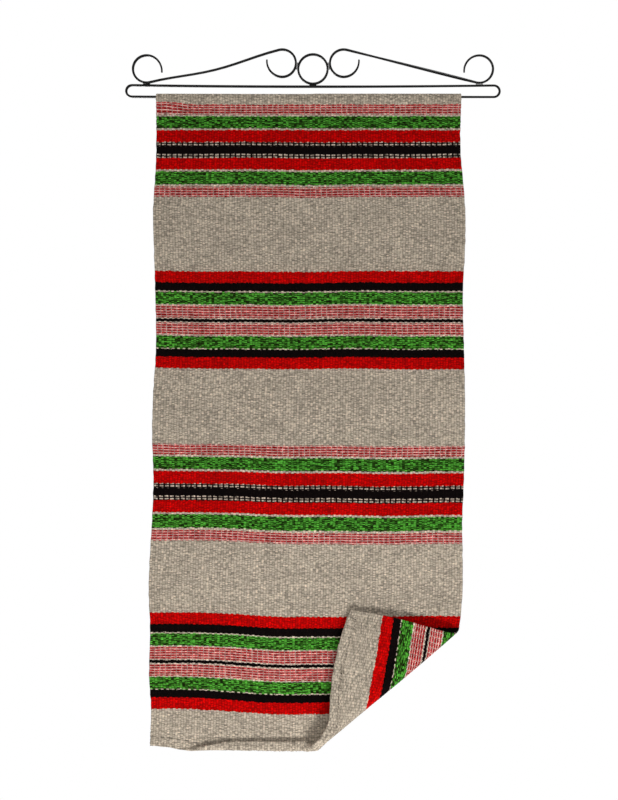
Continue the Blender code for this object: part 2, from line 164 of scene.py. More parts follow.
def drop(x, down):
    """How far the cloth hangs below its straight place, in metres."""
    skew = 5.4 * smooth(x, -0.185, -0.02) * smooth(down, 200.0, 640.0)
    skew -= 2.6 * smooth(x, -0.02, -0.25) * smooth(down, 700.0, 860.0)
    ripple = 0.5 * np.sin(x * 21.0 + down * 0.011) + 0.3 * np.sin(x * 47.0 + 1.3 + down * 0.004)
    ripple *= smooth(down, 30.0, 110.0) * (1.0 - smooth(down, 780.0, 850.0))
    return (skew + ripple) * MM


def wave(x, down):
    """How far the hanging cloth stands out of its plane, towards the wall."""
    slow = 0.9 * np.sin(down * 0.0215 + 0.6 + 2.2 * x) + 0.5 * np.sin(x * 19.0 + down * 0.006)
    fine = 0.22 * np.sin(down * 0.083 + x * 9.0) + 0.18 * np.sin(x * 63.0 + down * 0.021)
    return (slow + fine) * MM * smooth(down, 30.0, 120.0)


def to_world(x, z):
    return np.stack([x, np.zeros_like(x), z], axis=-1)


def fold_start(along, reach):
    """Where the roll begins, so that its silhouette is a slightly bowed line."""
    share = (along - (LOW_END + HIGH_END) / 2) / (HIGH_END - LOW_END)
    bow = 0.0016 * (1.0 - 8.0 * np.clip(share, -0.1, 0.6) ** 2)
    return FOLD_REACH + bow - reach


LIP_HEIGHT = (
    (-0.23, -0.9078), (-0.2, -0.9074), (-0.17, -0.9045), (-0.13, -0.9028), (-0.08, -0.904),
    (-0.03, -0.9048), (0.0, -0.9046), (0.05, -0.903),
)


def lip_line(x):
    """Height where the bottom edge turns forward, below the cloth at the left."""
    return flowing(x, LIP_HEIGHT)


def place_panel(flat):
    """World place of the middle of the cloth for flat points (x, z) below the sleeve."""
    x, z = flat[:, 0], flat[:, 1]
    down = (TOP_Z - z) / MM
    z = z - drop(x, down)
    offset = to_world(x, z) - np.array(fold_origin)
    along = offset @ np.array(fold_along)
    out = offset @ np.array(fold_out)
    reach = flowing(along, ROLL_REACH) * MM
    depth = flowing(along, ROLL_DEPTH) * MM
    start = fold_start(along, reach)
    beyond_corner = out - start
    beyond_lip = lip_line(x) - z
    apart = beyond_corner - beyond_lip
    share = np.clip(0.5 + 0.5 * apart / LIP_MERGE, 0.0, 1.0)
    beyond = beyond_lip + apart * share + LIP_MERGE * share * (1.0 - share)
    away = np.outer(share, fold_out) + np.outer(1.0 - share, (0.0, 0.0, -1.0))
    away /= np.linalg.norm(away, axis=1)[:, None]
    reach = LIP_REACH + (reach - LIP_REACH) * share
    depth = LIP_DEPTH + (depth - LIP_DEPTH) * share
    mean = (reach + depth) / 2
    even = np.clip(beyond / mean, 0.0, FOLD_TURN)
    turn = even - (reach - depth) / (4.0 * mean) * np.sin(2.0 * even)
    straight = np.maximum(beyond - mean * FOLD_TURN, 0.0)
    lean = np.hypot(reach * cos(FOLD_TURN), depth * sin(FOLD_TURN))
    rolled = reach * np.sin(turn) + straight * reach * cos(FOLD_TURN) / lean
    height = depth * (np.cos(turn) - 1.0) - straight * depth * sin(FOLD_TURN) / lean
    # the flap bellies towards the room and its tip turns back
    height -= 1.5 * MM * smooth(straight, 0.0, 0.05) * (1.0 - smooth(straight, 0.06, 0.105))
    height = np.where(beyond > 0.0, height, 0.0)
    calm = 1.0 - smooth(beyond_corner, -0.05, 0.0)
    lift = -1.6 * MM * smooth(beyond_corner, -0.04, 0.0)
    moved = np.where(beyond > 0.0, rolled - beyond, 0.0)
    world = to_world(x, z) + away * moved[:, None]
    world[:, 1] += height + wave(x, down) * calm + lift
    return world


def sleeve_profile():
    """(y, z) of the cloth's middle from the back hem over the arms to the sleeve cut."""
    mid = (SEAM_Z + TOP_Z) / 2
    half = sleeve_high.y - THICKNESS / 2
    behind = THICKNESS + 0.1 * MM
    top = TOP_Z - THICKNESS / 2
    knots = [
        (behind, SEAM_Z - 2.2 * MM), (behind - 0.1 * MM, SEAM_Z), (0.52 * half, SEAM_Z + 3.6 * MM),
        (0.93 * half, mid - 0.5 * MM), (half, mid + 3.2 * MM), (0.88 * half, top - 0.8 * MM),
        (0.45 * half, top), (-0.45 * half, top), (-0.88 * half, top - 0.8 * MM),
        (-half, mid + 3.0 * MM), (-0.93 * half, mid - 0.6 * MM), (-0.52 * half, SEAM_Z + 2.6 * MM),
        (-0.16 * half, SEAM_Z - 1.2 * MM), (0.0, SEAM_Z - 5.0 * MM), (0.0, SEAM_Z - 12.0 * MM),
        (0.0, TOP_Z - SLEEVE_CUT),
    ]
    points = np.array(knots)
    steps = np.hypot(*np.diff(points, axis=0).T)
    lengths = np.concatenate([[0.0], np.cumsum(steps)])
    ys = list(zip(lengths, points[:, 0]))
    zs = list(zip(lengths, points[:, 1]))
    return lengths, ys, zs


def place_sleeve(flat):
    """World place for flat points (x, minus the length along the profile)."""
    x, length = flat[:, 0], -flat[:, 1]
    y = flowing(length, profile_y)
    z = flowing(length, profile_z)
    down = (TOP_Z - z) / MM
    near_top = 1.0 - smooth(down, 12.0, 30.0)
    droop = SLEEVE_DROOP * smooth(x, -0.21, -0.03) * (1.0 - smooth(x, -0.004, 0.003))
    z = z - droop * near_top - drop(x, down)
    y = y + wave(x, down) + 0.25 * MM * np.sin(x * 92.0) * near_top * np.sign(y)
    return np.stack([x, y, z], axis=-1)


def normals_of(place, flat):
    """Unit normals of a placed surface, towards the cloth's front."""
    step = 0.05 * MM
    across = place(flat + (step, 0.0)) - place(flat - (step, 0.0))
    down = place(flat - (0.0, step)) - place(flat + (0.0, step))
    normal = np.cross(down, across)
    return normal / np.linalg.norm(normal, axis=1)[:, None]


def flat_sheet(shares, downs, x_at, z_at):
    """bmesh of a flat grid in XZ, rows from the top down, with its front towards -Y."""
    across, down = np.meshgrid(shares, downs)
    xs, zs = x_at(across, down), z_at(across, down)
    bm = bmesh.new()
    grid = [
        [bm.verts.new((x, 0.0, z)) for x, z in zip(*row)]
        for row in zip(xs.tolist(), zs.tolist())
    ]
    for upper, lower in zip(grid, grid[1:]):
        for i in range(len(upper) - 1):
            bm.faces.new((upper[i], lower[i], lower[i + 1], upper[i + 1]))
    return bm


def cut(bm, point, normal, keep=None):
    """Adds an edge line across the sheet; keep is None, "inner" or "outer"."""
    bmesh.ops.bisect_plane(
        bm,
        geom=bm.verts[:] + bm.edges[:] + bm.faces[:],
        dist=1e-7,
        plane_co=point,
        plane_no=normal,
        clear_outer=keep == "inner",
        clear_inner=keep == "outer",
    )


def rounded(distance, radius):
    """Half thickness share near an edge."""
    inside = np.clip(distance / radius, 0.0, 1.0)
    return np.sqrt(np.clip(1.0 - (1.0 - inside) ** 2, 0.0, 1.0))


def rim_of(bm, edge_distance):
    """Flat points, their distance from the cloth's edges, and which are on an edge."""
    bm.verts.index_update()
    flat = np.array([(v.co.x, v.co.z) for v in bm.verts])
    rim = np.array([v.is_boundary for v in bm.verts])
    distance = edge_distance(flat)
    distance = np.where(rim, distance, np.maximum(distance, 0.15 * MM))
    return flat, distance, rim & (distance < 1e-6)


def cloth_piece(name, bm, place, edge_distance, front_half, back_half, weave):
    """A closed shell on both sides of a flat bmesh, welded at the cloth's own edges."""
    flat, distance, welded = rim_of(bm, edge_distance)
    pinched = [
        edge for edge in bm.edges
        if not edge.is_boundary and all(welded[v.index] for v in edge.verts)
    ]
    bmesh.ops.subdivide_edges(bm, edges=pinched, cuts=1)
    flat, distance, welded = rim_of(bm, edge_distance)
    loops = [[v.index for v in face.verts] for face in bm.faces]
    cut_edges = []
    for edge in bm.edges:
        if edge.is_boundary:
            a, b = (v.index for v in edge.verts)
            if welded[a] and welded[b]:
                continue
            loop = edge.link_loops[0]
            a, b = loop.vert.index, loop.link_loop_next.vert.index
            cut_edges.append((a, b))
    bm.free()
    middle = place(flat)
    normal = normals_of(place, flat)
    front = middle + normal * front_half(flat, distance)[:, None]
    back = middle - normal * back_half(flat, distance)[:, None]
    count = len(flat)
    back_index = np.arange(count)
    free = np.flatnonzero(~welded)
    back_index[free] = count + np.arange(len(free))
    verts = np.concatenate([front, back[free]])
    faces = [tuple(loop) for loop in loops]
    faces += [tuple(int(back_index[i]) for i in reversed(loop)) for loop in loops]
    walls = set()
    for a, b in cut_edges:
        ring = []
        for i in (b, a, int(back_index[a]), int(back_index[b])):
            if i not in ring:
                ring.append(i)
        faces.append(tuple(ring))
        walls.update({frozenset((a, b)), frozenset((int(back_index[a]), int(back_index[b])))})
    mesh = bpy.data.meshes.new(name)
    mesh.from_pydata([tuple(v) for v in verts], [], faces)
    mesh.shade_smooth()
    sharp = [frozenset(edge.vertices) in walls for edge in mesh.edges]
    mesh.attributes.new("sharp_edge", "BOOLEAN", "EDGE").data.foreach_set("value", sharp)
    values = weave(flat)
    values = np.concatenate([values, values[free]])
    attribute = mesh.attributes.new("weave", "FLOAT_VECTOR", "POINT")
    attribute.data.foreach_set("vector", values.astype(np.float32).ravel())
    mesh.validate()
    obj = bpy.data.objects.new(name, mesh)
    bpy.context.scene.collection.objects.link(obj)
    return obj


# Panel and flap
def panel_x(share, down):
    left, right = left_edge(down), right_edge(down)
    return left + (right - left) * share


def weave_panel(flat):
    down = (TOP_Z - flat[:, 1]) / MM
    left, right = left_edge(down), right_edge(down)
    rib = (flat[:, 0] - left) / (right - left) * RIBS
    lifted = 4.0 * (1.0 - smooth(flat[:, 0], left + 0.004, left + 0.055))
    stripe = down + lifted * (1.0 - smooth(down, 13.0, 30.0))
    # the third number, the crease depth, drives only painted shade in the wool material
    return np.stack([rib, stripe, hem_pinch(flat)], axis=-1)


def panel_distance(flat):
    down = (TOP_Z - flat[:, 1]) / MM
    sides = np.minimum(flat[:, 0] - left_edge(down), right_edge(down) - flat[:, 0])
    return np.maximum(np.minimum(sides, (bottom_end(flat[:, 0]) - down) * MM), 0.0)


def hem_share(flat):
    """1 on the turned-up hem, fading to 0 just above its sewn edge."""
    up = bottom_end(flat[:, 0]) - (TOP_Z - flat[:, 1]) / MM
    return 1.0 - smooth(up, HEM_WIDTH / MM - 0.5, HEM_WIDTH / MM + 0.5)


HEM_END = right_edge(bottom_end(0.19))
# Knots in the hem's seam: metres from the corner, millimetres below the seam, loose end
KNOTS = ((0.0125, 1.2, 7.0), (0.083, 1.0, 13.0), (0.101, 0.4, 6.0))


def hem_pinch(flat):
    """A shallow crease along the hem's seam, deeper at each stitch and knot."""
    up = bottom_end(flat[:, 0]) - (TOP_Z - flat[:, 1]) / MM
    stitch = 0.66 + 0.34 * np.cos(flat[:, 0] * 2.0 * pi / STITCH_PITCH)
    pinch = np.exp(-(((up - HEM_WIDTH / MM + 0.2) / 1.3) ** 2)) * stitch
    for away, below, _ in KNOTS:
        across = (flat[:, 0] - HEM_END + away) / MM
        hollow = 0.8 * np.exp(-((across / 4.5) ** 2) - ((up - HEM_WIDTH / MM + below) / 3.0) ** 2)
        pinch = np.maximum(pinch, hollow)
    return pinch


def rib_groove(flat, distance, left, right):
    """Share of the half thickness lost in the grooves between ribs, none at the edges."""
    ribs = (flat[:, 0] - left) / (right - left) * RIBS
    return RIB_RELIEF * (0.5 + 0.5 * np.cos(2.0 * pi * ribs)) * smooth(distance, 0.0, 2.0 * MM)


def panel_groove(flat, distance):
    down = (TOP_Z - flat[:, 1]) / MM
    return rib_groove(flat, distance, left_edge(down), right_edge(down))


def front_half(flat, distance):
    radius = EDGE_ROUND + 0.9 * MM * hem_share(flat)
    pinch = 0.55 * hem_pinch(flat) + panel_groove(flat, distance)
    return THICKNESS / 2 * (rounded(distance, radius) - pinch)


def back_half(flat, distance):
    hem = hem_share(flat)
    radius = EDGE_ROUND + 0.9 * MM * hem
    full = THICKNESS / 2 + 0.92 * THICKNESS * hem
    groove = THICKNESS / 2 * panel_groove(flat, distance)
    crease = THICKNESS * (0.25 + 0.5 * hem) * hem_pinch(flat)
    return full * rounded(distance, radius) - crease - groove


def share_lines():
    """Shares across the cloth: two columns to a rib, closer at the selvages."""
    inner = np.arange(1, RIBS * 2) / (RIBS * 2)
    edge = np.array((0.0, 0.2, 0.55, 1.0)) / 408.0
    return np.concatenate([edge, inner, 1.0 - edge[::-1]])


def sheet_below_sleeve():
    length = CLOTH_LENGTH / MM
    downs = list(np.arange(SLEEVE_CUT / MM, length - 36.0, 7.0))
    downs += list(np.linspace(length - 34.0, length - HEM_WIDTH / MM - 3.0, 12))
    downs += [length - HEM_WIDTH / MM + d for d in (-1.5, -0.7, 0.0, 0.7, 1.5)]
    downs += [length - d for d in (10.2, 9.0, 7.8, 6.5, 5.2, 4.0, 2.8, 1.7, 0.9, 0.35, 0.0)]
    last = length - 40.0

    def stretched(share, down):
        """The last rows follow the bottom edge."""
        x = panel_x(share, down)
        return down + (bottom_end(x) - length) * smooth(down, last, length - 16.0)

    def x_at(share, down):
        return panel_x(share, stretched(share, down))

    def z_at(share, down):
        return TOP_Z - stretched(share, down) * MM

    return flat_sheet(share_lines(), downs, x_at, z_at)


def fold_plane(out):
    return fold_origin + fold_out * out


HALF_CUT = FOLD_REACH * HALF_TURN  # flat distance to the line between panel and flap
FOLD_LINES = [0.0025 * i for i in range(-3, 22)]


def panel_sheets():
    """The flat panel and the flat flap, with edge lines along the bend."""
    bm = sheet_below_sleeve()
    for out in FOLD_LINES:
        cut(bm, fold_plane(out), fold_out)
    flap_bm = bm.copy()
    cut(bm, fold_plane(HALF_CUT), fold_out, "inner")
    cut(flap_bm, fold_plane(HALF_CUT), fold_out, "outer")
    return bm, flap_bm


def flat_area(bm):
    return sum(face.calc_area() for face in bm.faces)


panel_flat, flap_flat = panel_sheets()
panel_area, flap_area = flat_area(panel_flat), flat_area(flap_flat)
panel = cloth_piece(
    "tapestry_panel", panel_flat, place_panel, panel_distance, front_half, back_half,
    weave_panel,
)
flap = cloth_piece(
    "turned_corner", flap_flat, place_panel, panel_distance, front_half, back_half,
    weave_panel,
)

# Sleeve
profile_lengths, profile_y, profile_z = sleeve_profile()
PROFILE_END = profile_lengths[-1]


def sleeve_down(length):
    """Signed millimetres down the cloth; negative behind the arms."""
    apex = profile_lengths[6:8].mean()
    z = flowing(length, profile_z)
    down = (TOP_Z - z) / MM
    return np.where(length < apex, -down, down)


def weave_sleeve(flat):
    down = sleeve_down(-flat[:, 1])
    edge_down = np.maximum(down, 0.0)
    left, right = left_edge(edge_down), right_edge(edge_down)
    rib = (flat[:, 0] - left) / (right - left) * RIBS
    lifted = 4.0 * (1.0 - smooth(flat[:, 0], left + 0.004, left + 0.055))
    lifted = lifted * smooth(down, 4.0, 13.0) * (1.0 - smooth(down, 13.0, 30.0))
    return np.stack([rib, down + lifted, np.zeros_like(rib)], axis=-1)


def sleeve_distance(flat):
    down = np.maximum(sleeve_down(-flat[:, 1]), 0.0)
    sides = np.minimum(flat[:, 0] - left_edge(down), right_edge(down) - flat[:, 0])
    return np.maximum(np.minimum(sides, -flat[:, 1]), 0.0)


def sleeve_sheet():
    first = np.array((0.0, 0.2, 0.55, 1.0)) * MM
    rows = np.concatenate([first, np.linspace(2.0 * MM, PROFILE_END, 58)])

    def x_at(share, length):
        return panel_x(share, np.maximum(0.0, sleeve_down(length)))

    def z_at(share, length):
        return -length

    return flat_sheet(share_lines(), rows, x_at, z_at)


def plain_half(flat, distance):
    down = np.maximum(sleeve_down(-flat[:, 1]), 0.0)
    groove = rib_groove(flat, distance, left_edge(down), right_edge(down))
    return THICKNESS / 2 * (rounded(distance, EDGE_ROUND) - groove)


sleeve = cloth_piece(
    "tapestry_sleeve", sleeve_sheet(), place_sleeve, sleeve_distance, plain_half,
    plain_half, weave_sleeve,
)


# Stitches of grey wool yarn
YARN = 0.5 * MM
YARN_SIDES = 7


def tubes(name, strands):
    """One mesh of closed yarn tubes along lists of points."""
    bm = bmesh.new()
    for points in strands:
        rings = []
        for i, point in enumerate(points):
            ahead = points[min(i + 1, len(points) - 1)] - points[max(i - 1, 0)]
            forward = Vector(ahead).normalized()
            side = forward.cross(Vector((0.31, 0.17, 0.93))).normalized()
            other = forward.cross(side)
            radius = YARN * (0.55 if i in (0, len(points) - 1) else 1.0)
            turns = [2.0 * pi * k / YARN_SIDES for k in range(YARN_SIDES)]
            rings.append([
                bm.verts.new(Vector(point) + (side * cos(t) + other * sin(t)) * radius)
                for t in turns
            ])
        for lower, upper in zip(rings, rings[1:]):
            for k in range(YARN_SIDES):
                bm.faces.new((lower[k - 1], lower[k], upper[k], upper[k - 1]))
        bm.faces.new(rings[0])
        bm.faces.new(rings[-1][::-1])
    bmesh.ops.recalc_face_normals(bm, faces=bm.faces)
    mesh = bpy.data.meshes.new(name)
    bm.to_mesh(mesh)
    bm.free()
    mesh.shade_smooth()
    obj = bpy.data.objects.new(name, mesh)
    bpy.context.scene.collection.objects.link(obj)
    return obj


def on_back(path):
    """World points for (x, mm up from the bottom edge, mm above the cloth's back)."""
    x, up, lift = np.array(path, float).T
    flat = np.stack([x, TOP_Z - (bottom_end(x) - up) * MM], axis=-1)
    below = back_half(flat, panel_distance(flat)) + lift * MM
    return place_panel(flat) - normals_of(place_panel, flat) * below[:, None]


def out_of(path):
    """Flat distance beyond the fold line for the same points."""
    x, up, _ = np.array(path, float).T
    z = TOP_Z - (bottom_end(x) - up) * MM
    return (x - fold_origin.x) * fold_out.x + (z - fold_origin.z) * fold_out.z


def hem_stitch(x, slant):
    seam_up = HEM_WIDTH / MM
    return [
        (x - 0.9 * MM * slant, seam_up + 2.1, -0.5), (x - 0.6 * MM * slant, seam_up + 1.5, 0.15),
        (x, seam_up + 0.2, 0.6), (x + 0.5 * MM * slant, seam_up - 1.0, 0.3),
        (x + 0.8 * MM * slant, seam_up - 1.7, -0.4),
    ]


def knot(x, up, tail):
    """A looped knot with one tail lying up the cloth and one along the seam."""
    loop = [
        (x + (1.5 + 0.3 * sin(5.0 * t)) * MM * cos(t), up + 1.7 * sin(t), 0.4 + 0.18 * t)
        for t in [0.7 * i for i in range(16)]
    ]
    loose = [
        (x + (1.1 + 0.16 * tail * i) * MM, up + 0.9 * sin(0.8 * i), 0.9 - 0.07 * i)
        for i in range(8)
    ]
    other = [(x - 0.35 * i * MM, up + 1.0 + 0.8 * i, 1.2 - 0.1 * i) for i in range(7)]
    return loop, loose, other


def hem_strands():
    """Strands on the panel's back and on the flap's."""
    right = HEM_END
    left = float(left_edge(bottom_end(-0.2)))
    paths = []
    for k in range(int(left / STITCH_PITCH), int(right / STITCH_PITCH) + 1):
        x = k * STITCH_PITCH
        if left + 0.003 < x < right - 0.003:
            paths.append(hem_stitch(x, 1.0 + 0.35 * sin(2.7 * k)))
    for away, below, tail in KNOTS:
        paths += knot(right - away, HEM_WIDTH / MM - below, tail)
    paths += knot(left + 0.012, HEM_WIDTH / MM - 1.0, -7.0)
    on_panel = [on_back(path) for path in paths if out_of(path).max() < HALF_CUT - 0.001]
    on_flap = [on_back(path) for path in paths if out_of(path).min() > HALF_CUT + 0.001]
    return on_panel, on_flap


def sleeve_strands():
    """Overcast stitches from the turned-back edge into the cloth behind it."""
    edge_row, seam_row = -1.5 * MM, -(profile_lengths[13] - 0.6 * MM)
    strands = []
    for k in range(int(TOP_WIDTH / STITCH_PITCH) - 1):
        x = SHIFT - TOP_WIDTH / 2 + (k + 1.2) * STITCH_PITCH
        slant = (1.4 + 0.4 * sin(3.1 * k)) * MM
        flat = np.array([(x, edge_row), (x + 0.45 * slant, -0.05 * MM), (x + slant, seam_row)])
        middle, normal = place_sleeve(flat), normals_of(place_sleeve, flat)
        half = THICKNESS / 2
        strands.append([
            middle[0] + normal[0] * (half - 0.5 * MM) + np.array((-0.2 * MM, 0.0, 0.7 * MM)),
            middle[0] + normal[0] * (half + 0.35 * MM),
            middle[1] + normal[1] * half + np.array((0.0, 0.5 * MM, -0.3 * MM)),
            middle[1] + normal[1] * 0.4 * half + np.array((0.1 * MM, 0.1 * MM, -1.2 * MM)),
            middle[2] - normal[2] * (half + 0.1 * MM),
            middle[2] - normal[2] * (half - 0.6 * MM) - np.array((0.0, 0.0, 0.8 * MM)),
        ])
    return strands


panel_strands, flap_strands = hem_strands()
sleeve_stitches = tubes("sleeve_stitches", sleeve_strands())
hem_stitches = tubes("hem_stitches", panel_strands)
corner_stitches = tubes("corner_stitches", flap_strands)

# Materials


def linear(red, green, blue):
    """Linear colour of an sRGB one given in 0 to 255."""
    shares = (c / 255 for c in (red, green, blue))
    return tuple(c / 12.92 if c <= 0.04045 else ((c + 0.055) / 1.055) ** 2.4 for c in shares)


class Graph:
    """Short calls that add nodes to one material."""

    def __init__(self, name):
        self.material = bpy.data.materials.new(name)
        self.material.use_nodes = True
        self.tree = self.material.node_tree
        self.shader = self.tree.nodes["Principled BSDF"]

    def feed(self, socket, value):
        if isinstance(value, bpy.types.NodeSocket):
            self.tree.links.new(value, socket)
        elif isinstance(value, tuple) and len(value) == 3 and socket.type == "RGBA":
            socket.default_value = (*value, 1.0)
        else:
            socket.default_value = value

    def node(self, kind, inputs=(), **settings):
        node = self.tree.nodes.new(kind)
        for key, value in settings.items():
            setattr(node, key, value)
        for key, value in dict(inputs).items():
            self.feed(node.inputs[key], value)
        return node

    def math(self, operation, a, b=0.0, c=0.0, clamp=False):
        node = self.node("ShaderNodeMath", operation=operation, use_clamp=clamp)
        for socket, value in zip(node.inputs, (a, b, c)):
            self.feed(socket, value)
        return node.outputs[0]

    def add(self, a, b):
        return self.math("ADD", a, b)

    def times(self, a, b):
        return self.math("MULTIPLY", a, b)

    def mix(self, share, a, b, blend="MIX"):
        node = self.node("ShaderNodeMix", data_type="RGBA", blend_type=blend)
        for socket, value in ((node.inputs[0], share), (node.inputs[6], a), (node.inputs[7], b)):
            self.feed(socket, value)
        return node.outputs[2]

    def level(self, value, low, high, to_low=0.0, to_high=1.0, eased=True):
        kind = "SMOOTHSTEP" if eased else "LINEAR"
        node = self.node("ShaderNodeMapRange", interpolation_type=kind)
        for socket, number in zip(node.inputs, (value, low, high, to_low, to_high)):
            self.feed(socket, number)
        return node.outputs[0]

    def vector(self, x, y, z=0.0):
        return self.node("ShaderNodeCombineXYZ", {"X": x, "Y": y, "Z": z}).outputs[0]

    def noise(self, vector, scale, detail=2.0, rough=0.5, dimensions="3D"):
        inputs = {"Vector": vector, "Scale": scale, "Detail": detail, "Roughness": rough}
        node = self.node("ShaderNodeTexNoise", inputs, noise_dimensions=dimensions)
        return node.outputs["Fac"]

    def random(self, vector):
        node = self.node("ShaderNodeTexWhiteNoise", {"Vector": vector}, noise_dimensions="3D")
        return node.outputs["Value"]

    def ramp(self, share, stops, steps=True):
        node = self.node("ShaderNodeValToRGB", {"Fac": share})
        ramp = node.color_ramp
        ramp.interpolation = "CONSTANT" if steps else "LINEAR"
        ramp.elements.remove(ramp.elements[1])
        for i, (place, colour) in enumerate(stops):
            element = ramp.elements[0] if i == 0 else ramp.elements.new(place)
            element.position = place
            element.color = (*colour, 1.0)
        return node.outputs["Color"]

    def bump(self, height, strength, distance, normal=None):
        inputs = {"Height": height, "Strength": strength, "Distance": distance}
        if normal:
            inputs["Normal"] = normal
        return self.node("ShaderNodeBump", inputs).outputs["Normal"]


GROUND = linear(198, 184, 165)
LIGHT = linear(214, 194, 176)
RED = linear(206, 0, 0)
BLACK = linear(10, 4, 5)
ROSE_RED = linear(182, 8, 20)
ROSE_PALE = linear(255, 224, 212)
GREEN_BRIGHT = linear(84, 176, 56)
GREEN_DARK = linear(28, 32, 4)

# Stripes of each motif from the top down, with widths in millimetres. A kind is a plain
# colour or a two-colour pattern of beads.
MOTIF_A = (
    ("rose", 13.4), ("light", 2.0), ("green", 15.6), ("light", 2.4), ("red", 15.2),
    ("ladder", 5.4), ("black", 9.8), ("ladder", 5.4), ("red", 15.2), ("light", 2.4),
    ("green", 17.0), ("light", 2.4), ("rose", 13.4),
)
MOTIF_B = (
    ("red", 14.8), ("black", 11.2), ("light", 1.4), ("green", 15.8), ("light", 1.6),
    ("rose", 15.8), ("light", 1.5), ("line", 4.0), ("light", 1.7), ("rose", 15.4),
    ("light", 1.6), ("green", 15.6), ("light", 1.2), ("black", 10.6), ("red", 14.8),
)
PLAIN = {"light": LIGHT, "red": RED, "black": BLACK, "line": BLACK, "ground": GROUND}
PATTERN = {"rose": (1.0, 0.0, 0.0), "green": (0.0, 1.0, 0.0), "ladder": (0.0, 0.0, 1.0)}
PLACES = ((13.3, 121.7), (231.7, 126.9), (456.8, 126.8), (677.8, 128.2))  # start, height


def stops_of(motif, colour_of):
    """Colour ramp stops over a motif, with ground at both ends."""
    total = sum(width for _, width in motif)
    stops = [(0.0, colour_of("ground"))]
    down = 0.0
    for kind, width in motif:
        stops.append((0.001 + 0.998 * down / total, colour_of(kind)))
        down += width
    return stops + [(0.999, colour_of("ground"))]


